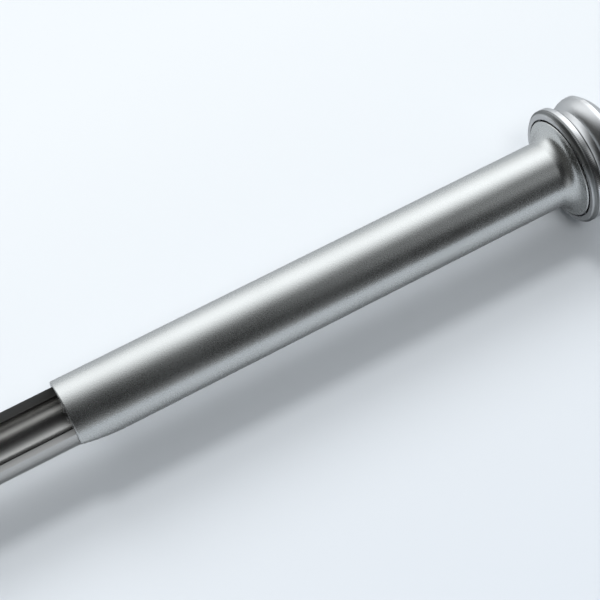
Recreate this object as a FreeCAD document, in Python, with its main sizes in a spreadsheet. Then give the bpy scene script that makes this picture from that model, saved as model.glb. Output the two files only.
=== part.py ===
import FreeCAD, Part
import Sketcher

import math
import os

# Cannulated chisel: a hollow gouge driven over a guide pin. All lengths are in millimetres.
# The tool lies along X. Its cutting edge is at -X, its striking face at +X, and the channel of the blade opens
# to +Z. The origin is on the tool axis, in the plane where the handle ends and the channel of the blade starts.

V = FreeCAD.Vector
OUT = "parts"
X_AXIS = V(1, 0, 0)
Y_AXIS = V(0, 1, 0)

SIZES = {
    # blade: a thick-walled tube with a long opening, ground to a gouge edge
    "blade_length": 95,
    "blade_diameter": 13.6,
    "channel_diameter": 9.6,
    "opening_angle": 126,
    "bevel_length": 7,
    "edge_thickness": 0.2,
    "rim_setback": 10,
    "rim_sweep_radius": 16,
    "rim_sweep_depth": 1.7,
    # tang of the blade, which carries the handle and ends in a thread
    "tang_diameter": 11,
    "thread_diameter": 10,
    "thread_length": 12,
    "thread_chamfer": 0.6,
    "thread_clearance": 0.05,
    "tang_relief": 0.2,
    # guide tube, the lining of the cannula
    "cannula_diameter": 4.3,
    "guide_tube_diameter": 6,
    "guide_tube_fit": 0.01,
    "head_hole_clearance": 0.1,
    "cannula_mouth_chamfer": 0.8,
    # handle sleeve
    "sleeve_length": 125.4,
    "sleeve_diameter": 16,
    "sleeve_fit": 0.03,
    "land_length": 16,
    "bore_relief": 0.4,
    "nose_length": 11.5,
    "nose_run_out_radius": 20,
    "nose_skin": 0.02,
    "nose_chamfer": 0.25,
    "flare_length": 6.8,
    "flange_diameter": 23.5,
    "flange_thickness": 1.3,
    "flange_chamfer": 0.3,
    # seals between tang and sleeve
    "seal_groove_depth": 0.8,
    "seal_groove_width": 1.3,
    "seal_width": 1.1,
    "rear_seal_inset": 13.9,
    "seal_clearance": 0.01,
    # key that keeps the nose of the sleeve in line with the opening
    "key_width": 2,
    "key_height": 2,
    "key_length": 8,
    "key_inset": 2.4,
    "key_seat_depth": 1,
    "key_clearance": 0.03,
    # nut that clamps the sleeve against the shoulder of the blade
    "nut_diameter": 15.2,
    "nut_thickness": 2.8,
    "nut_recess_clearance": 0.2,
    "nut_slot_width": 2,
    "nut_slot_depth": 1.4,
    "nut_slots": 4,
    # thrust washer between flange and head
    "washer_inset": 0.4,
    "washer_clearance": 0.3,
    "washer_thickness": 0.5,
    "seat_gap": 0.05,
    # collar ring around the flange
    "ring_wall": 1.95,
    "ring_length": 3,
    "ring_setback": 0.4,
    "ring_web": 1.4,
    "ring_gap": 0.2,
    "ring_front_chamfer": 0.8,
    "ring_rear_chamfer": 0.5,
    "ring_fit": 0.01,
    # dowels that lock the collar ring to the head
    "dowel_diameter": 1.2,
    "dowel_length": 2.8,
    "dowel_inset": 0.9,
    "dowel_clearance": 0.02,
    "dowels": 3,
    # striking head
    "spigot_diameter": 20,
    "neck_diameter": 24.2,
    "neck_arc_radius": 3,
    "neck_length": 2.3,
    "bulge_inset": 0.05,
    "bulge_length": 3.5,
    "bulge_arc_radius": 4.4,
    "band_length": 0.5,
    "dome_length": 3.8,
    "dome_arc_radius": 9,
    "striking_face_diameter": 15.6,
    "head_bore_allowance": 0.4,
    # how far the tools that cut an outline reach past the metal
    "cutter_margin": 1,
}


class Size:
    """A length or count that keeps both its value and the sheet expression that it comes from."""

    def __init__(self, text, value):
        self.text = text
        self.value = value

    @staticmethod
    def of(other):
        return other if isinstance(other, Size) else Size(repr(other), other)

    def combine(self, sign, other, value):
        return Size(f"({self.text} {sign} {other.text})", value)

    def __add__(self, other):
        other = Size.of(other)
        return self.combine("+", other, self.value + other.value)

    def __radd__(self, other):
        return Size.of(other) + self

    def __sub__(self, other):
        other = Size.of(other)
        return self.combine("-", other, self.value - other.value)

    def __rsub__(self, other):
        return Size.of(other) - self

    def __mul__(self, other):
        other = Size.of(other)
        return self.combine("*", other, self.value * other.value)

    def __truediv__(self, other):
        other = Size.of(other)
        return self.combine("/", other, self.value / other.value)

    def __neg__(self):
        return Size.of(0) - self


class Arc:
    """A round stretch of an outline to the next point, bulging to its left or right in the way of travel."""

    def __init__(self, radius, bulge):
        self.radius = radius
        self.bulge = bulge


ZERO = Size.of(0)

doc = FreeCAD.newDocument("cannulated_chisel")
sheet = doc.addObject("Spreadsheet::Sheet", "sizes")
D = {}
for row, (name, number) in enumerate(SIZES.items(), start=1):
    sheet.set(f"A{row}", name)
    sheet.set(f"B{row}", str(number))
    sheet.setAlias(f"B{row}", name)
    D[name] = Size(f"sizes.{name}", number)
doc.recompute()

subparts = {}


def bind(item, **properties):
    """Bind properties of an object to sizes."""
    for name, size in properties.items():
        item.setExpression(name, Size.of(size).text)


def place(item, x=ZERO, y=ZERO, z=ZERO, axis=V(0, 0, 1), angle=0):
    """Turn an object about an axis through its own origin, then bind its position to sizes."""
    item.Placement = FreeCAD.Placement(V(0, 0, 0), FreeCAD.Rotation(axis, angle))
    for name, size in (("x", x), ("y", y), ("z", z)):
        item.setExpression(f".Placement.Base.{name}", size.text)


def register(item, node):
    """Keep an object as the sub-part of that name."""
    item.Label = node
    subparts[node] = item
    return item


def new_body(node):
    return register(doc.addObject("PartDesign::Body", node), node)


def add_sketch(body, name, role):
    """Add a sketch on one of the body's own origin planes."""
    sketch = body.newObject("Sketcher::SketchObject", name)
    planes = {feature.Role: feature for feature in body.Origin.OriginFeatures}
    sketch.AttachmentSupport = [(planes[role], "")]
    sketch.MapMode = "FlatFace"
    return sketch


def arc_through(start, end, arc):
    """The arc from start to end with the given radius, on the stated side of their chord."""
    chord = end - start
    side = V(-chord.y, chord.x, 0).normalize() * (1 if arc.bulge == "left" else -1)
    radius = arc.radius.value
    sagitta = radius - math.sqrt(radius**2 - (chord.Length / 2) ** 2)
    return Part.Arc(start, (start + end) / 2 + side * sagitta, end)


def draw_outline(sketch, outline):
    """Draw a closed outline. Each entry is a point (x, y), or a point and the arc that leads to the next one."""
    points = [V(entry[0].value, entry[1].value, 0) for entry in outline]
    ends = []
    for i, entry in enumerate(outline):
        start = points[i]
        end = points[(i + 1) % len(points)]
        if len(entry) == 2:
            sketch.addGeometry(Part.LineSegment(start, end), False)
            ends.append((1, 2))
            continue
        curve = arc_through(start, end, entry[2])
        edge = sketch.addGeometry(curve, False)
        forward = sketch.getPoint(edge, 1).distanceToPoint(start) < sketch.getPoint(edge, 2).distanceToPoint(start)
        ends.append((1, 2) if forward else (2, 1))
    for i, entry in enumerate(outline):
        following = (i + 1) % len(points)
        sketch.addConstraint(Sketcher.Constraint("Coincident", i, ends[i][1], following, ends[following][0]))
    for i, entry in enumerate(outline):
        for kind, size in (("DistanceX", entry[0]), ("DistanceY", entry[1])):
            index = sketch.addConstraint(Sketcher.Constraint(kind, -1, 1, i, ends[i][0], size.value))
            sketch.setExpression(f"Constraints[{index}]", size.text)
        if len(entry) == 3:
            index = sketch.addConstraint(Sketcher.Constraint("Radius", i, entry[2].radius.value))
            sketch.setExpression(f"Constraints[{index}]", entry[2].radius.text)


def turn(body, name, outline, feature="PartDesign::Revolution", angle=Size.of(360)):
    """Turn a closed outline of (x, radius) points about the tool axis, adding metal or cutting it away."""
    sketch = add_sketch(body, name + "_outline", "XZ_Plane")
    draw_outline(sketch, outline)
    turned = body.newObject(feature, name)
    turned.Profile = sketch
    turned.ReferenceAxis = (sketch, ["H_Axis"])
    turned.Midplane = True
    bind(turned, Angle=angle)
    return turned


def cut_through(body, name, outline, width):
    """Cut a closed side outline of (x, z) points out of the body, half of the width to each side."""
    sketch = add_sketch(body, name + "_outline", "XZ_Plane")
    draw_outline(sketch, outline)
    pocket = body.newObject("PartDesign::Pocket", name)
    pocket.Profile = sketch
    pocket.Midplane = True
    bind(pocket, Length=width)
    return pocket


def around_axis(body, name, feature, count):
    """Repeat a feature about the tool axis."""
    pattern = body.newObject("PartDesign::PolarPattern", name)
    pattern.Originals = [feature]
    axes = {item.Role: item for item in body.Origin.OriginFeatures}
    pattern.Axis = (axes["X_Axis"], [""])
    pattern.Angle = 360
    bind(pattern, Occurrences=count)
    body.Tip = pattern
    return pattern


def along_x(label, start, length, radius):
    """A cylinder on the tool axis."""
    cylinder = doc.addObject("Part::Cylinder", label)
    bind(cylinder, Radius=radius, Height=length)
    place(cylinder, x=start, axis=Y_AXIS, angle=90)
    return cylinder


def combine(kind, label, base, tool):
    result = doc.addObject(kind, label)
    result.Base = base
    result.Tool = tool
    return result


# Shared radii, and places along the tool axis
blade_radius = D["blade_diameter"] / 2
channel_radius = D["channel_diameter"] / 2
tang_radius = D["tang_diameter"] / 2
thread_radius = D["thread_diameter"] / 2
tube_radius = D["guide_tube_diameter"] / 2
cannula_radius = D["cannula_diameter"] / 2
sleeve_radius = D["sleeve_diameter"] / 2
sleeve_bore_radius = tang_radius + D["sleeve_fit"]
flange_radius = D["flange_diameter"] / 2
nut_radius = D["nut_diameter"] / 2
ring_recess_radius = flange_radius + D["ring_gap"]
ring_radius = ring_recess_radius + D["ring_wall"]
spigot_radius = D["spigot_diameter"] / 2
dowel_circle_radius = spigot_radius + D["dowel_inset"]
sleeve_end = D["sleeve_length"]
nut_seat = sleeve_end - D["nut_thickness"] - D["nut_recess_clearance"]
tail_end = nut_seat + D["thread_length"]
washer_start = sleeve_end + D["seat_gap"]
head_start = washer_start + D["washer_thickness"] + D["seat_gap"]
ring_start = sleeve_end - D["flange_thickness"] + D["ring_setback"]
ring_end = ring_start + D["ring_length"]
web_start = ring_end - D["ring_web"]
seal_places = {"front_seal": D["land_length"] / 2, "rear_seal": nut_seat - D["rear_seal_inset"]}
seal_floor = tang_radius - D["seal_groove_depth"]
key_end = nut_seat - D["key_inset"]
key_start = key_end - D["key_length"]
key_bottom = tang_radius - D["key_seat_depth"]
key_top = key_bottom + D["key_height"]
margin = D["cutter_margin"]


# Blade and tang, turned from one bar. The channel ends square at the face of the tang, where the bore starts.
def make_chisel_blade():
    body = new_body("chisel_blade")
    tip = -D["blade_length"]
    shoulder = nut_seat - D["tang_relief"]
    chamfer = D["thread_chamfer"]
    half_groove = D["seal_groove_width"] / 2
    outline = [
        (tip, channel_radius),
        (ZERO, channel_radius),
        (ZERO, tube_radius),
        (tail_end, tube_radius),
        (tail_end, thread_radius - chamfer),
        (tail_end - chamfer, thread_radius),
        (shoulder, thread_radius),
        (shoulder, tang_radius),
    ]
    for centre in (seal_places["rear_seal"], seal_places["front_seal"]):
        outline += [
            (centre + half_groove, tang_radius),
            (centre + half_groove, seal_floor),
            (centre - half_groove, seal_floor),
            (centre - half_groove, tang_radius),
        ]
    outline += [
        (ZERO, tang_radius),
        (ZERO, blade_radius),
        (tip + D["bevel_length"], blade_radius),
        (tip, channel_radius + D["edge_thickness"]),
    ]
    turn(body, "bar", outline)

    # the opening: a sector of the tube, with radial faces on the two rims
    past_tip = tip - margin
    past_side = blade_radius + margin
    opening = [(past_tip, ZERO), (ZERO, ZERO), (ZERO, past_side), (past_tip, past_side)]
    turn(body, "opening", opening, "PartDesign::Groove", D["opening_angle"])

    # the rims sweep back from the cutting edge
    rim_back = tip + D["rim_setback"]
    sweep = [
        (past_tip, -D["rim_sweep_depth"]),
        (tip, -D["rim_sweep_depth"], Arc(D["rim_sweep_radius"], "left")),
        (rim_back, channel_radius),
        (rim_back, past_side),
        (past_tip, past_side),
    ]
    cut_through(body, "rim_sweep", sweep, past_side * 2)

    # seat of the key, on the side away from the opening
    seat = [
        (key_start, -key_bottom),
        (key_end, -key_bottom),
        (key_end, -tang_radius - margin),
        (key_start, -tang_radius - margin),
    ]
    cut_through(body, "key_seat", seat, D["key_width"] + D["key_clearance"])


# Lining of the cannula, a drawn tube brazed into the tang. The guide pin runs in it.
def make_guide_tube():
    body = new_body("guide_tube")
    outer = tube_radius - D["guide_tube_fit"]
    outline = [(ZERO, cannula_radius), (tail_end, cannula_radius), (tail_end, outer), (ZERO, outer)]
    turn(body, "tube", outline)


# Handle sleeve: a satin tube that blends into the back of the blade and flares to a flange behind.
def make_handle_sleeve():
    body = doc.addObject("PartDesign::Body", "sleeve_turned")
    relief = sleeve_bore_radius + D["bore_relief"]
    rear_land = nut_seat - D["land_length"]
    recess = nut_radius + D["nut_recess_clearance"]
    flange_front = sleeve_end - D["flange_thickness"]
    flare_start = flange_front - D["flare_length"]
    edge = D["flange_chamfer"]
    nose_edge = D["nose_chamfer"]
    rise = flange_radius - sleeve_radius - edge
    flare_radius = (D["flare_length"] * D["flare_length"] + rise * rise) / (rise * 2)
    outline = [
        (ZERO, sleeve_bore_radius),
        (D["land_length"], sleeve_bore_radius),
        (D["land_length"], relief),
        (rear_land, relief),
        (rear_land, sleeve_bore_radius),
        (nut_seat, sleeve_bore_radius),
        (nut_seat, recess),
        (sleeve_end, recess),
        (sleeve_end, flange_radius),
        (flange_front + edge, flange_radius),
        (flange_front, flange_radius - edge, Arc(flare_radius, "left")),
        (flare_start, sleeve_radius),
        (nose_edge, sleeve_radius),
        (ZERO, sleeve_radius - nose_edge),
    ]
    turn(body, "tube", outline)
    keyway = [
        (key_start, -key_bottom),
        (nut_seat + margin, -key_bottom),
        (nut_seat + margin, -key_top - D["key_clearance"]),
        (key_start, -key_top - D["key_clearance"]),
    ]
    cut_through(body, "keyway", keyway, D["key_width"] + D["key_clearance"])

    # The nose is ground away behind the opening: what stays lies inside a tunnel that bends upwards from the tool
    # axis, or on the blade's own radius.
    block = along_x("nose_block", -margin, D["nose_length"] + margin, sleeve_radius + margin)
    tunnel = doc.addObject("Part::Torus", "nose_tunnel")
    bind(tunnel, Radius1=D["nose_run_out_radius"], Radius2=sleeve_radius + D["nose_skin"])
    place(tunnel, x=D["nose_length"], z=D["nose_run_out_radius"], axis=X_AXIS, angle=90)
    core = along_x("nose_core", -margin * 2, D["nose_length"] + margin * 3, blade_radius)
    shell = combine("Part::Cut", "nose_shell", block, tunnel)
    waste = combine("Part::Cut", "nose_waste", shell, core)
    register(combine("Part::Cut", "handle_sleeve", body, waste), "handle_sleeve")


# Square-section sealing rings in the two grooves of the tang
def make_seals():
    inner = seal_floor + D["seal_clearance"]
    outer = sleeve_bore_radius - D["seal_clearance"]
    for node, centre in seal_places.items():
        body = new_body(node)
        front = centre - D["seal_width"] / 2
        rear = centre + D["seal_width"] / 2
        turn(body, node + "_ring", [(front, inner), (rear, inner), (rear, outer), (front, outer)])


# Key between tang and sleeve
def make_key():
    key = register(doc.addObject("Part::Box", "index_key"), "index_key")
    gap = D["key_clearance"] / 2
    bind(key, Length=D["key_length"] - D["key_clearance"], Width=D["key_width"] - D["key_clearance"])
    bind(key, Height=D["key_height"])
    place(key, x=key_start + gap, y=gap - D["key_width"] / 2, z=-key_top)


# Round nut with spanner slots, on the thread of the tang
def make_lock_nut():
    body = new_body("lock_nut")
    bore = thread_radius + D["thread_clearance"]
    end = nut_seat + D["nut_thickness"]
    outline = [(nut_seat, bore), (end, bore), (end, nut_radius), (nut_seat, nut_radius)]
    turn(body, "disc", outline)
    floor = nut_radius - D["nut_slot_depth"]
    front = nut_seat - margin
    rear = end + margin
    past_rim = nut_radius + margin
    slot = [(front, floor), (rear, floor), (rear, past_rim), (front, past_rim)]
    first = cut_through(body, "slot", slot, D["nut_slot_width"])
    around_axis(body, "slots", first, D["nut_slots"])


# Thrust washer between the flange and the head
def make_thrust_washer():
    body = new_body("thrust_washer")
    bore = thread_radius + D["washer_clearance"]
    end = washer_start + D["washer_thickness"]
    rim = spigot_radius - D["washer_inset"]
    turn(body, "disc", [(washer_start, bore), (end, bore), (end, rim), (washer_start, rim)])


def cut_dowel_holes(body):
    """Holes along X for the dowels, through whatever lies between the web of the ring and their far ends."""
    sketch = add_sketch(body, "dowel_hole_outline", "YZ_Plane")
    circle = Part.Circle(V(0, dowel_circle_radius.value, 0), V(0, 0, 1), D["dowel_diameter"].value / 2)
    hole = sketch.addGeometry(circle, False)
    sketch.addConstraint(Sketcher.Constraint("PointOnObject", hole, 3, -2))
    height = sketch.addConstraint(Sketcher.Constraint("DistanceY", -1, 1, hole, 3, circle.Center.y))
    sketch.setExpression(f"Constraints[{height}]", dowel_circle_radius.text)
    width = sketch.addConstraint(Sketcher.Constraint("Radius", hole, circle.Radius))
    sketch.setExpression(f"Constraints[{width}]", (D["dowel_diameter"] / 2 + D["dowel_clearance"]).text)
    sketch.setExpression(".AttachmentOffset.Base.z", web_start.text)
    pocket = body.newObject("PartDesign::Pocket", "dowel_hole")
    pocket.Profile = sketch
    pocket.Reversed = True
    bind(pocket, Length=D["dowel_length"])
    around_axis(body, "dowel_holes", pocket, D["dowels"])


# Collar ring: stands around the flange and is held by its web on the spigot of the head
def make_collar_ring():
    body = new_body("collar_ring")
    bore = spigot_radius + D["ring_fit"]
    front_chamfer = D["ring_front_chamfer"]
    rear_chamfer = D["ring_rear_chamfer"]
    outline = [
        (ring_start, ring_recess_radius),
        (web_start, ring_recess_radius),
        (web_start, bore),
        (ring_end, bore),
        (ring_end, ring_radius - rear_chamfer),
        (ring_end - rear_chamfer, ring_radius),
        (ring_start + front_chamfer, ring_radius),
        (ring_start, ring_radius - front_chamfer),
    ]
    turn(body, "band", outline)
    cut_dowel_holes(body)


# Striking head: spigot, hollow neck, bulge, polished band and dome. It screws on to the tang.
def make_striking_head():
    body = new_body("striking_head")
    bore = thread_radius + D["thread_clearance"]
    bore_end = tail_end + D["head_bore_allowance"]
    hole = cannula_radius + D["head_hole_clearance"]
    neck = D["neck_diameter"] / 2
    bulge = ring_radius - D["bulge_inset"]
    neck_end = ring_end + D["neck_length"]
    bulge_end = neck_end + D["bulge_length"]
    band_end = bulge_end + D["band_length"]
    face = band_end + D["dome_length"]
    mouth = D["cannula_mouth_chamfer"]
    outline = [
        (head_start, bore),
        (bore_end, bore),
        (bore_end, hole),
        (face - mouth, hole),
        (face, hole + mouth),
        (face, D["striking_face_diameter"] / 2, Arc(D["dome_arc_radius"], "right")),
        (band_end, bulge),
        (bulge_end, bulge, Arc(D["bulge_arc_radius"], "right")),
        (neck_end, neck, Arc(D["neck_arc_radius"], "left")),
        (ring_end, neck),
        (ring_end, spigot_radius),
        (head_start, spigot_radius),
    ]
    turn(body, "head", outline)
    cut_dowel_holes(body)


# Dowels across the joint of collar ring and head
def make_dowels():
    pins = []
    for i in range(int(D["dowels"].value)):
        pin = doc.addObject("Part::Cylinder", f"dowel_{i + 1}")
        bind(pin, Radius=D["dowel_diameter"] / 2, Height=D["dowel_length"])
        turned = 360 * i / D["dowels"].value
        across = math.sin(math.radians(turned))
        up = math.cos(math.radians(turned))
        place(pin, x=web_start, y=dowel_circle_radius * across, z=dowel_circle_radius * up, axis=Y_AXIS, angle=90)
        pins.append(pin)
    group = register(doc.addObject("Part::Compound", "collar_dowels"), "collar_dowels")
    group.Links = pins


make_chisel_blade()
make_guide_tube()
make_handle_sleeve()
make_seals()
make_key()
make_lock_nut()
make_thrust_washer()
make_collar_ring()
make_striking_head()
make_dowels()
doc.recompute()

for item in doc.Objects:
    if "Invalid" in item.State or "Error" in item.State:
        raise RuntimeError(f"{item.Name} did not build: {item.State}")
for node, item in subparts.items():
    if item.Shape.isNull() or not item.Shape.isValid():
        raise RuntimeError(f"{node} has no valid shape")

os.makedirs(OUT, exist_ok=True)
for node, item in subparts.items():
    item.Shape.exportStep(os.path.join(OUT, node + ".step"))
    box = item.Shape.BoundBox
    print(f"{node}: {len(item.Shape.Solids)} solid(s), {item.Shape.Volume:.1f} mm3, x {box.XMin:.2f} to {box.XMax:.2f}")
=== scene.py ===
import math

import bmesh
import bpy
from mathutils import Matrix, Quaternion, Vector


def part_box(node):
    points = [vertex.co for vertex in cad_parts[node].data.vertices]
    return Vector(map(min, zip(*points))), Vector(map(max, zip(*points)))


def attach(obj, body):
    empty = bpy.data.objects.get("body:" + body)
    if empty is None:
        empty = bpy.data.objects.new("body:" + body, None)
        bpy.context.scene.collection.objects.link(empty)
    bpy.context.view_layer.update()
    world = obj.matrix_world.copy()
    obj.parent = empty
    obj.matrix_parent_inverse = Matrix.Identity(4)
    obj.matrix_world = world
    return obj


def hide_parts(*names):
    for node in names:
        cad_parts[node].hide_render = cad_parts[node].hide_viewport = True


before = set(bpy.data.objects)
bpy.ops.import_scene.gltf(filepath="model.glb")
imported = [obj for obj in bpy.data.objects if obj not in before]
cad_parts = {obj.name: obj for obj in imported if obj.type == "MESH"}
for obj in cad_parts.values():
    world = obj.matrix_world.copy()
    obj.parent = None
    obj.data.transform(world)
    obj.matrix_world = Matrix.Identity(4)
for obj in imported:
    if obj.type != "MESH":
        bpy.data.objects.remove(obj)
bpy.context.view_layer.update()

scene = bpy.context.scene
scene.view_settings.view_transform = "Standard"
X_AXIS = Vector((1, 0, 0))

# Camera: stands over the front of the handle and looks steeply down on it. The blade runs out of the picture at
# the lower left, and the head at the upper right.
VIEW_AZIMUTH = math.radians(-29.1)
VIEW_ELEVATION = math.radians(64.7)
VIEW_DISTANCE = 0.351
VIEW_AIM = Vector((0.0566, -0.00029, -0.00012))
VIEW_ROLL = 0.0014
LENS = 96
SENSOR_WIDTH = 36
looking = Vector((
    -math.sin(VIEW_AZIMUTH) * math.cos(VIEW_ELEVATION),
    math.cos(VIEW_AZIMUTH) * math.cos(VIEW_ELEVATION),
    -math.sin(VIEW_ELEVATION),
))
camera_data = bpy.data.cameras.new("camera")
camera_data.lens = LENS
camera_data.sensor_width = SENSOR_WIDTH
camera = bpy.data.objects.new("camera", camera_data)
camera.location = VIEW_AIM - looking * VIEW_DISTANCE
upright = looking.to_track_quat("-Z", "Y")
camera.rotation_euler = (upright @ Quaternion((0, 0, 1), VIEW_ROLL)).to_euler()
scene.collection.objects.link(camera)
scene.camera = camera


# Table: a matt sheet of bluish white, level with the tool axis, with painted shade that darkens it towards the
# front. The rim of the ring touches it, and the blade stays clear of it, as the even shadow below the whole tool
# shows.
def make_piece(name, bm, sharp=math.radians(35)):
    """Turn a finished bmesh into an object whose mesh holds its place."""
    mesh = bpy.data.meshes.new(name)
    bm.to_mesh(mesh)
    bm.free()
    mesh.shade_smooth()
    mesh.set_sharp_from_angle(angle=sharp)
    piece = bpy.data.objects.new(name, mesh)
    scene.collection.objects.link(piece)
    return piece


def new_material(name):
    """A node material with its tree, its shader and the place on the piece."""
    material = bpy.data.materials.new(name)
    material.use_nodes = True
    tree = material.node_tree
    place = add_node(tree, "ShaderNodeTexCoord").outputs["Object"]
    return material, tree, tree.nodes["Principled BSDF"], place


def connect(tree, node, inputs):
    """Set inputs of a node. Each is a constant or the output of another node."""
    for name, value in inputs.items():
        if isinstance(value, bpy.types.NodeSocket):
            tree.links.new(value, node.inputs[name])
        else:
            node.inputs[name].default_value = value


def add_node(tree, kind, inputs=None, **settings):
    """Add a node with its settings and its inputs."""
    node = tree.nodes.new(kind)
    for name, value in settings.items():
        setattr(node, name, value)
    connect(tree, node, inputs or {})
    return node


def mix_colour(tree, factor, first, second):
    """Mix two colours. The colour sockets of the node are found by their kind, because names repeat."""
    node = add_node(tree, "ShaderNodeMix", data_type="RGBA")
    colours = [socket for socket in node.inputs if socket.type == "RGBA"]
    for socket, value in zip([node.inputs[0]] + colours, (factor, first, second)):
        if isinstance(value, bpy.types.NodeSocket):
            tree.links.new(value, socket)
        else:
            socket.default_value = value
    return next(socket for socket in node.outputs if socket.type == "RGBA")


def spread(tree, mask, low, high):
    """Turn a mask from 0 to 1 into values from low to high."""
    return add_node(tree, "ShaderNodeMapRange", {"Value": mask, "To Min": low, "To Max": high}).outputs["Result"]


def fade(tree, value, start, end):
    """Rise from 0 to 1 while the value goes from start to end."""
    return add_node(tree, "ShaderNodeMapRange", {
        "Value": value, "From Min": start, "From Max": end,
    }).outputs["Result"]


def math_node(tree, operation, first, second):
    """Add a math node and give its value."""
    return add_node(tree, "ShaderNodeMath", {0: first, 1: second}, operation=operation).outputs["Value"]


SHEET_SIZE = 1.5
SHEET_BLEND = 0.09
CLOUD_SCALE = 14
CLOUD_SHARE = 0.12
# the front of the sheet is painted darker than the back: painted shade, where less of the light falls
SHEET_NEAR_PAINTED_SHADE = (0.595, 0.63, 0.675, 1)
SHEET_FAR = (0.69, 0.715, 0.735, 1)
ring_low, ring_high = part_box("collar_ring")
blade_low, blade_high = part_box("chisel_blade")
sheet = bmesh.new()
bmesh.ops.create_grid(sheet, x_segments=1, y_segments=1, size=SHEET_SIZE)
bmesh.ops.translate(sheet, verts=sheet.verts, vec=(0, 0, ring_low.z))
table = make_piece("table_sheet", sheet)
sheet_paint, tree, shader, place = new_material("white_sheet")
sides = add_node(tree, "ShaderNodeSeparateXYZ", {"Vector": place})
back = fade(tree, sides.outputs["Y"], -SHEET_BLEND, SHEET_BLEND)
cloud = add_node(tree, "ShaderNodeTexNoise", {"Vector": place, "Scale": CLOUD_SCALE, "Detail": 2})
drift = math_node(tree, "MULTIPLY_ADD", cloud.outputs["Fac"], CLOUD_SHARE)
tree.links.new(back, drift.node.inputs[2])
paint = mix_colour(tree, drift, SHEET_NEAR_PAINTED_SHADE, SHEET_FAR)
connect(tree, shader, {"Base Color": paint, "Roughness": 0.8, "Specular IOR Level": 0.2})
table.data.materials.append(sheet_paint)

# Light: a wide white screen stands behind the tool and bends over it, and the room in front and above is dark.
# Towards the head a weaker screen shows over the front as well. Straight beyond the head the room is light, and
# straight beyond the blade it is dark.

# each stop is the angle from the zenith towards the front, in degrees, and the brightness seen there
SCREEN_STOPS = (
    (-90, 1.25), (-78, 1.6), (-62, 1.78), (-48, 1.72), (-36, 1.36), (-24, 0.9), (-12, 0.47), (-2, 0.22),
    (8, 0.1), (20, 0.045), (36, 0.03), (50, 0.04), (62, 0.08), (72, 0.17), (80, 0.32), (90, 0.6),
)
HEAD_STOPS = (
    (-90, 1.3), (-78, 1.75), (-62, 2.1), (-48, 2.1), (-38, 1.65), (-26, 0.95), (-15, 0.45), (-7, 0.24),
    (0, 0.38), (8, 0.5), (20, 0.46), (30, 0.2), (40, 0.04), (58, 0.03), (74, 0.12), (90, 0.5),
)
SCREEN_TINT = (0.97, 1, 1.02)
SCREEN_LEAN = 0.6
BRIGHTEST = 2.4
HEAD_SIDE = (0.22, 0.33)
HEAD_END = (0.45, 0.8)
HEAD_END_LIGHT = (1.1, 1.17, 1.22, 1)
BLADE_END = (-0.3, -0.65)
BLADE_END_SHADE = (0.09, 0.092, 0.09, 1)
world = bpy.data.worlds.new("studio")
scene.world = world
world.use_nodes = True
tree = world.node_tree
toward = add_node(tree, "ShaderNodeTexCoord").outputs["Generated"]
axes = add_node(tree, "ShaderNodeSeparateXYZ", {"Vector": toward})
front = math_node(tree, "MULTIPLY", axes.outputs["Y"], -1.0)
tilt = math_node(tree, "ARCTAN2", front, axes.outputs["Z"])
shift = math_node(tree, "MULTIPLY", axes.outputs["X"], SCREEN_LEAN)
tilt = math_node(tree, "SUBTRACT", tilt, shift)
position = fade(tree, tilt, -math.pi / 2, math.pi / 2)
screens = []
for levels in (SCREEN_STOPS, HEAD_STOPS):
    ramp = add_node(tree, "ShaderNodeValToRGB", {"Fac": position})
    stops = ramp.color_ramp.elements
    while len(stops) < len(levels):
        stops.new(0.5)
    for stop, (angle, level) in zip(stops, levels):
        stop.position = (angle + 90) / 180
        stop.color = [level * share / BRIGHTEST for share in SCREEN_TINT] + [1]
    screens.append(ramp.outputs["Color"])
screen = mix_colour(tree, fade(tree, axes.outputs["X"], *HEAD_SIDE), *screens)
bright = add_node(tree, "ShaderNodeVectorMath", {0: screen, 1: (BRIGHTEST,) * 3}, operation="MULTIPLY")
light = mix_colour(tree, fade(tree, axes.outputs["X"], *HEAD_END), bright.outputs["Vector"], HEAD_END_LIGHT)
light = mix_colour(tree, fade(tree, axes.outputs["X"], *BLADE_END), light, BLADE_END_SHADE)
connect(tree, tree.nodes["Background"], {"Color": light})

# Two soft lamps over the back of the table throw the double shadow in front of the tool, and one over the front
# lightens it. Each has its tilt from the zenith and its width in degrees, and its strength.
LAMPS = (("high_lamp", 29, 12, 1.0), ("low_lamp", 51, 26, 1.35), ("front_lamp", -22, 20, 0.66))
for name, tilt_angle, width, strength in LAMPS:
    lamp_data = bpy.data.lights.new(name, "SUN")
    lamp_data.energy = strength
    lamp_data.angle = math.radians(width)
    lamp = bpy.data.objects.new(name, lamp_data)
    lamp.rotation_euler = (-math.radians(tilt_angle), 0, 0)
    lamp.visible_glossy = False
    scene.collection.objects.link(lamp)


# Chisel blade: a gouge ground from a thick stainless tube, open on top, with a long tang that runs through the
# handle and ends in a thread. It is turned, milled open, ground lengthwise and polished in the channel.
MERGE = 1e-7


def turned(outline, steps):
    """Turn a closed outline of (x, radius) points in millimetres about the tool axis."""
    bm = bmesh.new()
    points = [bm.verts.new((x / 1000, 0, radius / 1000)) for x, radius in outline]
    edges = [bm.edges.new(pair) for pair in zip(points, points[1:] + points[:1])]
    bmesh.ops.spin(bm, geom=points + edges, cent=(0, 0, 0), axis=X_AXIS, dvec=(0, 0, 0), angle=math.tau,
                   steps=steps, use_merge=True, use_normal_flip=False, use_duplicate=False)
    bmesh.ops.remove_doubles(bm, verts=bm.verts, dist=MERGE)
    bmesh.ops.recalc_face_normals(bm, faces=bm.faces)
    return bm


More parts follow.
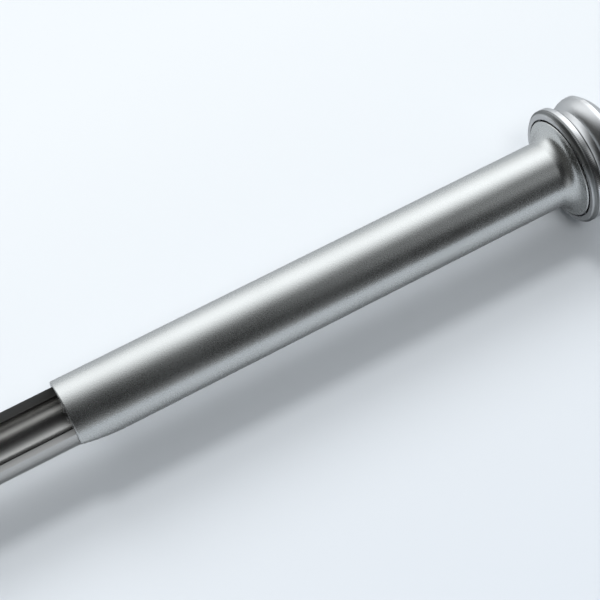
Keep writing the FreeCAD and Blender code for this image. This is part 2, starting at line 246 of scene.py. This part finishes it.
def arc(start, end, radius, side, steps):
    """Points of a round stretch of an outline, bulging to the left (1) or right (-1) in the way of travel."""
    start, end = Vector(start), Vector(end)
    chord = end - start
    across = Vector((-chord.y, chord.x)).normalized() * side
    centre = (start + end) / 2 - across * math.sqrt(radius**2 - (chord.length / 2) ** 2)
    first = start - centre
    sweep = first.angle_signed(end - centre)
    return [tuple(centre + Matrix.Rotation(-sweep * i / steps, 2) @ first) for i in range(steps + 1)]


def round_edges(bm, edges, width, segments):
    """Round some edges over a width in millimetres."""
    bmesh.ops.bevel(bm, geom=edges, offset=width / 1000, segments=segments, profile=0.5, affect="EDGES",
                    clamp_overlap=True, material=-1)


def soften(bm, width):
    """Round the sharp edges, as tumbling or polishing leaves them."""
    sharp = [edge for edge in bm.edges if edge.is_manifold and edge.calc_face_angle() > math.radians(40)]
    round_edges(bm, sharp, width, 2)


def draw_in(vert, scale):
    """Move a point towards the tool axis."""
    vert.co.y *= scale
    vert.co.z *= scale


TIP = blade_low.x * 1000
BLADE_RADIUS = -blade_low.z * 1000
TAIL_END = blade_high.x * 1000
CHANNEL_RADIUS = 4.8
EDGE_THICKNESS = 0.2
HALF_OPENING = math.radians(63)
BEVEL_LENGTH = 7
RIM_SETBACK = 10
RIM_SWEEP_RADIUS = 16
RIM_SWEEP_DEPTH = 1.7
RIM_SWEEP_STEPS = 60
RIM_STATIONS = 24
RIM_ROUNDING = 0.12
MID_BLADE = -40
BLADE_STEPS = 120
TOUCH = 0.001
blade = bmesh.new()
stations = [TIP + RIM_SETBACK * i / RIM_STATIONS for i in range(RIM_STATIONS)] + [TIP + RIM_SETBACK, MID_BLADE, 0]


def outer_radius(x):
    """Outer radius of the blade, with its long bevel at the cutting edge."""
    ground = min((x - TIP) / BEVEL_LENGTH, 1)
    return CHANNEL_RADIUS + EDGE_THICKNESS + (BLADE_RADIUS - CHANNEL_RADIUS - EDGE_THICKNESS) * ground


corners = [blade.verts.new((TIP / 1000, 0, radius / 1000)) for radius in (CHANNEL_RADIUS, outer_radius(TIP))]
edge = blade.edges.new(corners)
for x in stations[1:]:
    grown = bmesh.ops.extrude_edge_only(blade, edges=[edge])["geom"]
    corners = sorted((item for item in grown if isinstance(item, bmesh.types.BMVert)), key=lambda vert: vert.co.z)
    edge = next(item for item in grown if isinstance(item, bmesh.types.BMEdge) and set(item.verts) == set(corners))
    for corner, radius in zip(corners, (CHANNEL_RADIUS, outer_radius(x))):
        corner.co = (x / 1000, 0, radius / 1000)
bmesh.ops.rotate(blade, verts=blade.verts, cent=(0, 0, 0), matrix=Matrix.Rotation(HALF_OPENING, 3, "X"))
bmesh.ops.spin(blade, geom=blade.verts[:] + blade.edges[:] + blade.faces[:], cent=(0, 0, 0), axis=X_AXIS,
               dvec=(0, 0, 0), angle=math.tau - 2 * HALF_OPENING, steps=BLADE_STEPS, use_merge=False,
               use_normal_flip=False, use_duplicate=False)
bmesh.ops.remove_doubles(blade, verts=blade.verts, dist=MERGE)
bmesh.ops.recalc_face_normals(blade, faces=blade.faces)

# the two long inner edges of the opening are rounded a little, and catch the light
rims = [
    edge for edge in blade.edges
    if edge.is_manifold and edge.calc_face_angle() > math.radians(60)
    and abs(edge.verts[0].co.x - edge.verts[1].co.x) > 1e-5
    and math.hypot(edge.verts[0].co.y, edge.verts[0].co.z) * 1000 < CHANNEL_RADIUS + EDGE_THICKNESS / 2
]
round_edges(blade, rims, RIM_ROUNDING, 3)

# the rims sweep back from the cutting edge: each cross-section closes down to the height of the sweep there
sweep_end = TIP + RIM_SETBACK
sweep_line = arc((TIP, -RIM_SWEEP_DEPTH), (sweep_end, CHANNEL_RADIUS), RIM_SWEEP_RADIUS, 1, RIM_SWEEP_STEPS)
rim_angle = math.pi - HALF_OPENING
for vert in blade.verts:
    x = vert.co.x * 1000
    if x > sweep_end:
        continue
    height = next((z for reach, z in sweep_line if reach >= x - TOUCH), CHANNEL_RADIUS)
    radius = math.hypot(vert.co.y, vert.co.z)
    limit = math.acos(max(-1, min(1, -height / 1000 / radius)))
    if limit < rim_angle:
        angle = math.atan2(vert.co.y, -vert.co.z) * limit / rim_angle
        vert.co = (vert.co.x, radius * math.sin(angle), -radius * math.cos(angle))

# the tang carries the guide tube inside and two seal grooves and the thread outside
TANG_RADIUS = 5.5
TUBE_RADIUS = 3.0
SHOULDER = 122.2
THREAD_RADIUS = 5.0
THREAD_PITCH = 1.0
THREAD_DEPTH = 0.5
THREAD_CHAMFER = 0.6
THREAD_SKIN = 0.1
THREAD_START = SHOULDER + 0.05
GROOVE_DEPTH = 0.8
HALF_GROOVE = 0.65
THREAD_STATIONS = 10
TANG_STEPS = 72
seal_places = [sum(corner.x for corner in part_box(node)) / 2 * 1000 for node in ("front_seal", "rear_seal")]
tang_outline = [(0, TUBE_RADIUS), (TAIL_END, TUBE_RADIUS), (TAIL_END, THREAD_RADIUS - THREAD_CHAMFER)]
thread_length = TAIL_END - THREAD_CHAMFER - SHOULDER
tang_outline += [
    (TAIL_END - THREAD_CHAMFER - i / THREAD_STATIONS, THREAD_RADIUS)
    for i in range(int(thread_length * THREAD_STATIONS) + 1)
]
tang_outline += [(SHOULDER, THREAD_RADIUS), (SHOULDER, TANG_RADIUS)]
for centre in reversed(seal_places):
    tang_outline += [
        (centre + HALF_GROOVE, TANG_RADIUS),
        (centre + HALF_GROOVE, TANG_RADIUS - GROOVE_DEPTH),
        (centre - HALF_GROOVE, TANG_RADIUS - GROOVE_DEPTH),
        (centre - HALF_GROOVE, TANG_RADIUS),
    ]
tang_outline.append((0, TANG_RADIUS))
tang = turned(tang_outline, TANG_STEPS)
for vert in tang.verts:
    radius = math.hypot(vert.co.y, vert.co.z) * 1000
    x = vert.co.x * 1000
    if THREAD_START < x < TAIL_END - THREAD_CHAMFER / 2 and radius > THREAD_RADIUS - THREAD_SKIN:
        turn = (x / THREAD_PITCH - math.atan2(vert.co.y, vert.co.z) / math.tau) % 1
        scale = 1 - THREAD_DEPTH * (1 - abs(2 * turn - 1)) / radius
        draw_in(vert, scale)
tang_mesh = bpy.data.meshes.new("tang")
tang.to_mesh(tang_mesh)
tang.free()
blade.from_mesh(tang_mesh)

# the flats of the opening, which look neither outwards nor along the tool, take the second finish
SIDEWAYS = 0.5
for face in blade.faces:
    middle = face.calc_center_median()
    outward = Vector((0, middle.y, middle.z)).normalized()
    if middle.x < 0 and abs(face.normal.dot(outward)) < SIDEWAYS and abs(face.normal.x) < SIDEWAYS:
        face.material_index = 1
chisel = make_piece("gouge_and_tang", blade)


def new_group(name, inputs):
    """A shader node group that makes one mask. An input without a value is a vector."""
    group = bpy.data.node_groups.new(name, "ShaderNodeTree")
    for socket, value in inputs.items():
        kind = "NodeSocketVector" if value is None else "NodeSocketFloat"
        made = group.interface.new_socket(name=socket, in_out="INPUT", socket_type=kind)
        if value is not None:
            made.default_value = value
    group.interface.new_socket(name="Mask", in_out="OUTPUT", socket_type="NodeSocketFloat")
    return group, group.nodes.new("NodeGroupInput").outputs, group.nodes.new("NodeGroupOutput")


# lines left by a belt or stone that runs along the tool
grinding, given, result = new_group("lengthwise_lines", {
    "Vector": None, "Lines per metre": 4000.0, "Length": 0.02,
})
spots = add_node(grinding, "ShaderNodeSeparateXYZ", {"Vector": given["Vector"]})
squeezed = math_node(grinding, "MULTIPLY", spots.outputs["X"], given["Length"])
flat = add_node(grinding, "ShaderNodeCombineXYZ", {
    "X": squeezed, "Y": spots.outputs["Y"], "Z": spots.outputs["Z"],
})
grain = add_node(grinding, "ShaderNodeTexNoise", {
    "Vector": flat.outputs["Vector"], "Scale": given["Lines per metre"], "Detail": 3.0, "Roughness": 0.6,
})
connect(grinding, result, {"Mask": grain.outputs["Fac"]})

# soft clouds where a surface was handled and wiped
SMEAR_EDGE = (0.32, 0.68)
handling, given, result = new_group("handling", {"Vector": None, "Scale": 60.0})
cloud = add_node(handling, "ShaderNodeTexNoise", {
    "Vector": given["Vector"], "Scale": given["Scale"], "Detail": 3.0, "Roughness": 0.5, "Distortion": 0.6,
})
connect(handling, result, {"Mask": fade(handling, cloud.outputs["Fac"], *SMEAR_EDGE)})

# edges rubbed bright: where a rounded normal leaves the true one
WEAR_STARTS = 0.995
WEAR_FULL = 0.9
wear, given, result = new_group("edge_wear", {"Radius": 0.0003})
rounded_normal = add_node(wear, "ShaderNodeBevel", {"Radius": given["Radius"]}, samples=4).outputs["Normal"]
true_normal = add_node(wear, "ShaderNodeNewGeometry").outputs["Normal"]
match = add_node(wear, "ShaderNodeVectorMath", {0: rounded_normal, 1: true_normal}, operation="DOT_PRODUCT")
connect(wear, result, {"Mask": fade(wear, match.outputs["Value"], WEAR_STARTS, WEAR_FULL)})


def use_group(tree, group, inputs):
    """Place a node group and give its mask."""
    node = add_node(tree, "ShaderNodeGroup", node_tree=group)
    connect(tree, node, inputs)
    return node.outputs["Mask"]


def bare_metal(tree, shader, colour, roughness, relief, edge_tint=None):
    """Join up a bare metal. The relief is a height, a strength and a depth in metres."""
    height, strength, depth = relief
    bump = add_node(tree, "ShaderNodeBump", {"Height": height, "Strength": strength, "Distance": depth})
    connect(tree, shader, {
        "Base Color": colour, "Metallic": 1.0, "Roughness": roughness, "Normal": bump.outputs["Normal"],
    })
    if edge_tint:
        connect(tree, shader, {"Specular Tint": edge_tint})


# the tint darkens a metal where it is seen at a low angle, as a fine ground or blasted finish does
EDGE_TINT = (0.62, 0.62, 0.62, 1)
BLADE_STEEL = (0.40, 0.395, 0.385, 1)
BLADE_STEEL_BRIGHT = (0.50, 0.495, 0.485, 1)
blade_steel, tree, shader, place = new_material("ground_blade_steel")
lines = use_group(tree, grinding, {"Vector": place, "Lines per metre": 5200.0, "Length": 0.015})
smears = use_group(tree, handling, {"Vector": place, "Scale": 90.0})
rubbed = use_group(tree, wear, {"Radius": 0.0003})
colour = mix_colour(tree, lines, BLADE_STEEL, BLADE_STEEL_BRIGHT)
colour = mix_colour(tree, spread(tree, rubbed, 0.0, 0.3), colour, BLADE_STEEL_BRIGHT)
roughness = spread(tree, smears, 0.17, 0.23)
roughness = math_node(tree, "ADD", roughness, spread(tree, lines, -0.03, 0.05))
bare_metal(tree, shader, colour, roughness, (lines, 0.08, 0.00002), EDGE_TINT)
chisel.data.materials.append(blade_steel)

# the two rims beside the opening are ground by hand and stay matt
RIM_STEEL = (0.24, 0.238, 0.235, 1)
RIM_STEEL_BRIGHT = (0.33, 0.328, 0.322, 1)
rim_steel, tree, shader, place = new_material("ground_rim_steel")
lines = use_group(tree, grinding, {"Vector": place, "Lines per metre": 7000.0, "Length": 0.01})
colour = mix_colour(tree, lines, RIM_STEEL, RIM_STEEL_BRIGHT)
bare_metal(tree, shader, colour, spread(tree, lines, 0.4, 0.5), (lines, 0.2, 0.00002))
chisel.data.materials.append(rim_steel)
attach(chisel, "tool")
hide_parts("chisel_blade")


# Handle sleeve: a stainless tube, turned with a flare and a flange behind, its nose ground down to the back of the
# blade. It is blasted with glass beads to a fine satin and held on the tang by a nut.
SLEEVE_RADIUS = 8.0
SLEEVE_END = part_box("handle_sleeve")[1].x * 1000
SLEEVE_BORE = 5.53
BORE_RELIEF = 5.93
LAND = 16
NUT_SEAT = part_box("lock_nut")[0].x * 1000
NUT_RECESS = 7.8
FLANGE_RADIUS = 11.75
FLANGE_THICKNESS = 1.3
FLANGE_EDGE = 0.3
FLARE_LENGTH = 3.6
NOSE_LENGTH = 11.5
NOSE_RUN_OUT = 20
NOSE_SKIN = 0.02
NOSE_EDGE = 0.3
NOSE_STATIONS = 28
SLEEVE_STEPS = 168
SLEEVE_ROUNDING = 0.06
flange_front = SLEEVE_END - FLANGE_THICKNESS
flare_rise = FLANGE_RADIUS - FLANGE_EDGE - SLEEVE_RADIUS
flare_radius = (FLARE_LENGTH**2 + flare_rise**2) / (2 * flare_rise)
sleeve_outline = [
    (0, SLEEVE_BORE), (LAND, SLEEVE_BORE), (LAND, BORE_RELIEF), (NUT_SEAT - LAND, BORE_RELIEF),
    (NUT_SEAT - LAND, SLEEVE_BORE), (NUT_SEAT, SLEEVE_BORE), (NUT_SEAT, NUT_RECESS), (SLEEVE_END, NUT_RECESS),
    (SLEEVE_END, FLANGE_RADIUS),
]
sleeve_outline += arc((flange_front + FLANGE_EDGE, FLANGE_RADIUS), (flange_front, FLANGE_RADIUS - FLANGE_EDGE),
                      FLANGE_EDGE, -1, 4)
sleeve_outline += arc((flange_front, FLANGE_RADIUS - FLANGE_EDGE), (flange_front - FLARE_LENGTH, SLEEVE_RADIUS),
                      flare_radius, 1, 18)[1:]
sleeve_outline += [(NOSE_LENGTH * (1 - i / NOSE_STATIONS), SLEEVE_RADIUS) for i in range(NOSE_STATIONS)]
sleeve_outline += arc((NOSE_EDGE, SLEEVE_RADIUS), (0, SLEEVE_RADIUS - NOSE_EDGE), NOSE_EDGE, -1, 4)
sleeve_mesh = turned(sleeve_outline, SLEEVE_STEPS)
soften(sleeve_mesh, SLEEVE_ROUNDING)


def inside_tunnel(x, y, z):
    """Whether a point of the nose lies inside the bent tunnel that the grinding wheel leaves."""
    from_bend = math.hypot(x - NOSE_LENGTH, z - NOSE_RUN_OUT) - NOSE_RUN_OUT
    return math.hypot(from_bend, y) <= SLEEVE_RADIUS + NOSE_SKIN


# each point of the nose outside the tunnel goes in towards the axis until it meets the tunnel's wall
HALVINGS = 18
for vert in sleeve_mesh.verts:
    x, y, z = vert.co * 1000
    radius = math.hypot(y, z)
    if x > NOSE_LENGTH or radius < BLADE_RADIUS or inside_tunnel(x, y, z):
        continue
    low, high = BLADE_RADIUS / radius, 1.0
    for step in range(HALVINGS):
        middle = (low + high) / 2
        if inside_tunnel(x, y * middle, z * middle):
            low = middle
        else:
            high = middle
    draw_in(vert, low)
sleeve = make_piece("handle_tube", sleeve_mesh)

# fine pits of a blasted surface
blasting, given, result = new_group("blasted_grain", {"Vector": None, "Pit size": 0.0003})
pits = math_node(blasting, "DIVIDE", 1.0, given["Pit size"])
coarse = add_node(blasting, "ShaderNodeTexNoise", {
    "Vector": given["Vector"], "Scale": pits, "Detail": 2.0, "Roughness": 0.6,
})
fine = add_node(blasting, "ShaderNodeTexVoronoi", {"Vector": given["Vector"], "Scale": pits}, distance="EUCLIDEAN")
blended = math_node(blasting, "MULTIPLY", coarse.outputs["Fac"], fine.outputs["Distance"])
connect(blasting, result, {"Mask": math_node(blasting, "ADD", blended, coarse.outputs["Fac"])})

SATIN_STEEL = (0.50, 0.508, 0.502, 1)
SATIN_STEEL_WIPED = (0.54, 0.548, 0.542, 1)
SATIN_STEEL_RUBBED = (0.62, 0.625, 0.63, 1)
satin_steel, tree, shader, place = new_material("blasted_satin_steel")
grain = use_group(tree, blasting, {"Vector": place, "Pit size": 0.00035})
smears = use_group(tree, handling, {"Vector": place, "Scale": 55.0})
rubbed = use_group(tree, wear, {"Radius": 0.0003})
colour = mix_colour(tree, smears, SATIN_STEEL, SATIN_STEEL_WIPED)
colour = mix_colour(tree, rubbed, colour, SATIN_STEEL_RUBBED)
roughness = math_node(tree, "ADD", spread(tree, smears, 0.22, 0.26), spread(tree, grain, -0.03, 0.05))
bare_metal(tree, shader, colour, roughness, (grain, 0.2, 0.00004), EDGE_TINT)
sleeve.data.materials.append(satin_steel)
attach(sleeve, "tool")
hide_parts("handle_sleeve")

# Guide tube, key and dowels: small parts of drawn bright steel, as cut from bar or tube. The guide tube is brazed
# into the tang, the key sits between tang and sleeve, and the dowels lock ring and head together.
DRAWN_STEEL = (0.56, 0.56, 0.56, 1)
DRAWN_STEEL_DULL = (0.46, 0.46, 0.455, 1)
drawn_steel, tree, shader, place = new_material("drawn_steel")
lines = use_group(tree, grinding, {"Vector": place, "Lines per metre": 6500.0, "Length": 0.05})
smears = use_group(tree, handling, {"Vector": place, "Scale": 240.0})
colour = mix_colour(tree, smears, DRAWN_STEEL, DRAWN_STEEL_DULL)
roughness = math_node(tree, "ADD", spread(tree, smears, 0.2, 0.3), spread(tree, lines, -0.04, 0.04))
bare_metal(tree, shader, colour, roughness, (lines, 0.1, 0.00002))


def dress(nodes, material):
    """Give CAD solids their finish in place of the plain one."""
    for node in nodes:
        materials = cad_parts[node].data.materials
        materials.clear()
        materials.append(material)


dress(("guide_tube", "index_key", "collar_dowels"), drawn_steel)

# Seals: two square rings of dark silicone in grooves of the tang, which keep fluid out of the handle.
SILICONE = (0.035, 0.036, 0.04, 1)
SILICONE_BLOOM = (0.07, 0.072, 0.078, 1)
silicone, tree, shader, place = new_material("seal_silicone")
bloom = use_group(tree, handling, {"Vector": place, "Scale": 900.0})
colour = mix_colour(tree, bloom, SILICONE, SILICONE_BLOOM)
connect(tree, shader, {"Base Color": colour, "Roughness": spread(tree, bloom, 0.5, 0.62)})
dress(("front_seal", "rear_seal"), silicone)

# Lock nut and thrust washer: turned from bar and left as machined. The nut has four spanner slots and clamps the
# sleeve, and the washer takes the thrust of the head on the flange.
turning, given, result = new_group("turning_lines", {"Vector": None, "Lines per metre": 6000.0})
spots = add_node(turning, "ShaderNodeSeparateXYZ", {"Vector": given["Vector"]})
around = add_node(turning, "ShaderNodeCombineXYZ", {"Y": spots.outputs["Y"], "Z": spots.outputs["Z"]})
reach = add_node(turning, "ShaderNodeVectorMath", {0: around.outputs["Vector"]}, operation="LENGTH")
pair = add_node(turning, "ShaderNodeCombineXYZ", {"X": spots.outputs["X"], "Y": reach.outputs["Value"]})
rings = add_node(turning, "ShaderNodeTexNoise", {
    "Vector": pair.outputs["Vector"], "Scale": given["Lines per metre"], "Detail": 2.0, "Roughness": 0.7,
})
connect(turning, result, {"Mask": rings.outputs["Fac"]})

MACHINED_STEEL = (0.44, 0.44, 0.445, 1)
MACHINED_STEEL_BRIGHT = (0.56, 0.56, 0.56, 1)
machined_steel, tree, shader, place = new_material("machined_steel")
rings = use_group(tree, turning, {"Vector": place, "Lines per metre": 7000.0})
smears = use_group(tree, handling, {"Vector": place, "Scale": 260.0})
colour = mix_colour(tree, rings, MACHINED_STEEL, MACHINED_STEEL_BRIGHT)
roughness = math_node(tree, "ADD", spread(tree, smears, 0.24, 0.32), spread(tree, rings, -0.05, 0.05))
bare_metal(tree, shader, colour, roughness, (rings, 0.25, 0.00003))
dress(("lock_nut", "thrust_washer"), machined_steel)


# Collar ring: a band of stainless steel that stands around the flange. Its front face is satin, its rim has a fine
# straight knurl in front, painted darker than the rest as the shade of its grooves, and is polished behind. Its web
# is pressed on the head's spigot.
RING_START = ring_low.x * 1000
RING_END = ring_high.x * 1000
RING_RADIUS = -ring_low.z * 1000
RING_RECESS = 12.15
RING_BORE = 10.01
RING_WEB = 1.36
RING_FRONT_CHAMFER = 0.8
RING_REAR_CHAMFER = 0.5
KNURL_TEETH = 190
KNURL_DEPTH = 0.07
KNURL_END = RING_START + 1.15
KNURL_RUN_OUT = 0.12
STEPS_PER_TOOTH = 4
KNURL_SLACK = 0.01
ring_outline = [
    (RING_START, RING_RECESS), (RING_END - RING_WEB, RING_RECESS), (RING_END - RING_WEB, RING_BORE),
    (RING_END, RING_BORE), (RING_END, RING_RADIUS - RING_REAR_CHAMFER), (RING_END - RING_REAR_CHAMFER, RING_RADIUS),
    (KNURL_END + KNURL_RUN_OUT, RING_RADIUS), (KNURL_END, RING_RADIUS),
    (RING_START + RING_FRONT_CHAMFER, RING_RADIUS), (RING_START, RING_RADIUS - RING_FRONT_CHAMFER),
]
ring = turned(ring_outline, KNURL_TEETH * STEPS_PER_TOOTH)
for vert in ring.verts:
    radius = math.hypot(vert.co.y, vert.co.z) * 1000
    if radius > RING_RADIUS - KNURL_SLACK and vert.co.x * 1000 < KNURL_END + KNURL_SLACK:
        turn = (math.atan2(vert.co.y, vert.co.z) / math.tau * KNURL_TEETH) % 1
        scale = 1 - KNURL_DEPTH * abs(2 * turn - 1) / radius
        draw_in(vert, scale)
collar = make_piece("knurled_collar", ring, sharp=math.radians(25))


def mix_value(tree, factor, first, second):
    """Mix two values. The sockets of the node go by number, because their names repeat."""
    return add_node(tree, "ShaderNodeMix", {0: factor, 2: first, 3: second}).outputs[0]


def fade_along(tree, place, start, reach):
    """Rise from 0 to 1 over a reach of the tool axis, in millimetres."""
    along = add_node(tree, "ShaderNodeSeparateXYZ", {"Vector": place}).outputs["X"]
    return fade(tree, along, start / 1000, (start + reach) / 1000)


POLISH_START = KNURL_END + 0.1
POLISH_FADE = 0.2
DARK_START = RING_START + 0.15
DARK_FADE = 0.25
RING_STEEL = (0.50, 0.505, 0.51, 1)
RING_STEEL_POLISHED = (0.62, 0.625, 0.63, 1)
# the knurled band is painted darker than the ring's steel: painted shade of the knurl's grooves
KNURL_PAINTED_SHADE = (0.2, 0.205, 0.205, 1)
ring_steel, tree, shader, place = new_material("ring_steel")
polished = fade_along(tree, place, POLISH_START, POLISH_FADE)
knurled = fade_along(tree, place, DARK_START, DARK_FADE)
rings = use_group(tree, turning, {"Vector": place, "Lines per metre": 6000.0})
smears = use_group(tree, handling, {"Vector": place, "Scale": 130.0})
colour = mix_colour(tree, knurled, RING_STEEL, KNURL_PAINTED_SHADE)
colour = mix_colour(tree, polished, colour, RING_STEEL_POLISHED)
satin = math_node(tree, "ADD", spread(tree, smears, 0.26, 0.32), spread(tree, rings, -0.03, 0.03))
roughness = mix_value(tree, polished, satin, 0.12)
bare_metal(tree, shader, colour, roughness, (rings, 0.12, 0.00002), EDGE_TINT)
collar.data.materials.append(ring_steel)
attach(collar, "head")
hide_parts("collar_ring")


# Striking head: turned from one piece of stainless bar, with a waisted neck, a satin bulge, a polished band and a
# dome that ends in the struck face. It screws on to the tang, and the guide pin passes through it.
HEAD_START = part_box("striking_head")[0].x * 1000
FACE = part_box("striking_head")[1].x * 1000
SPIGOT_RADIUS = 10.0
THREAD_BORE = 5.05
THREAD_BORE_END = TAIL_END + 0.4
PIN_HOLE = 2.25
HOLE_CHAMFER = 0.8
NECK_RADIUS = 12.1
NECK_ARC = 3
NECK_END = RING_END + 2.3
BULGE_RADIUS = RING_RADIUS - 0.05
BULGE_ARC = 4.4
BULGE_END = NECK_END + 3.5
BAND_END = BULGE_END + 0.5
DOME_ARC = 9
FACE_RADIUS = 7.8
HEAD_STEPS = 176
HEAD_ROUNDING = 0.12
head_outline = [
    (HEAD_START, THREAD_BORE), (THREAD_BORE_END, THREAD_BORE), (THREAD_BORE_END, PIN_HOLE),
    (FACE - HOLE_CHAMFER, PIN_HOLE), (FACE, PIN_HOLE + HOLE_CHAMFER),
]
head_outline += arc((FACE, FACE_RADIUS), (BAND_END, BULGE_RADIUS), DOME_ARC, -1, 20)
head_outline += arc((BULGE_END, BULGE_RADIUS), (NECK_END, NECK_RADIUS), BULGE_ARC, -1, 14)
head_outline += arc((NECK_END, NECK_RADIUS), (RING_END, NECK_RADIUS), NECK_ARC, 1, 12)[1:]
head_outline += [(RING_END, SPIGOT_RADIUS), (HEAD_START, SPIGOT_RADIUS)]
head = turned(head_outline, HEAD_STEPS)
soften(head, HEAD_ROUNDING)
striking_head = make_piece("turned_head", head, sharp=math.radians(30))

BAND_START = BULGE_END - 0.6
BAND_FADE = 0.4
HEAD_STEEL = (0.49, 0.495, 0.5, 1)
HEAD_STEEL_POLISHED = (0.62, 0.625, 0.63, 1)
head_steel, tree, shader, place = new_material("head_steel")
polished = fade_along(tree, place, BAND_START, BAND_FADE)
rings = use_group(tree, turning, {"Vector": place, "Lines per metre": 5000.0})
grain = use_group(tree, blasting, {"Vector": place, "Pit size": 0.00035})
smears = use_group(tree, handling, {"Vector": place, "Scale": 110.0})
rubbed = use_group(tree, wear, {"Radius": 0.0003})
colour = mix_colour(tree, polished, HEAD_STEEL, HEAD_STEEL_POLISHED)
colour = mix_colour(tree, spread(tree, rubbed, 0.0, 0.7), colour, HEAD_STEEL_POLISHED)
satin = math_node(tree, "ADD", spread(tree, smears, 0.27, 0.33), spread(tree, grain, -0.03, 0.05))
roughness = mix_value(tree, polished, satin, 0.13)
bare_metal(tree, shader, colour, roughness, (rings, 0.06, 0.00002), EDGE_TINT)
striking_head.data.materials.append(head_steel)
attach(striking_head, "head")
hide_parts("striking_head")
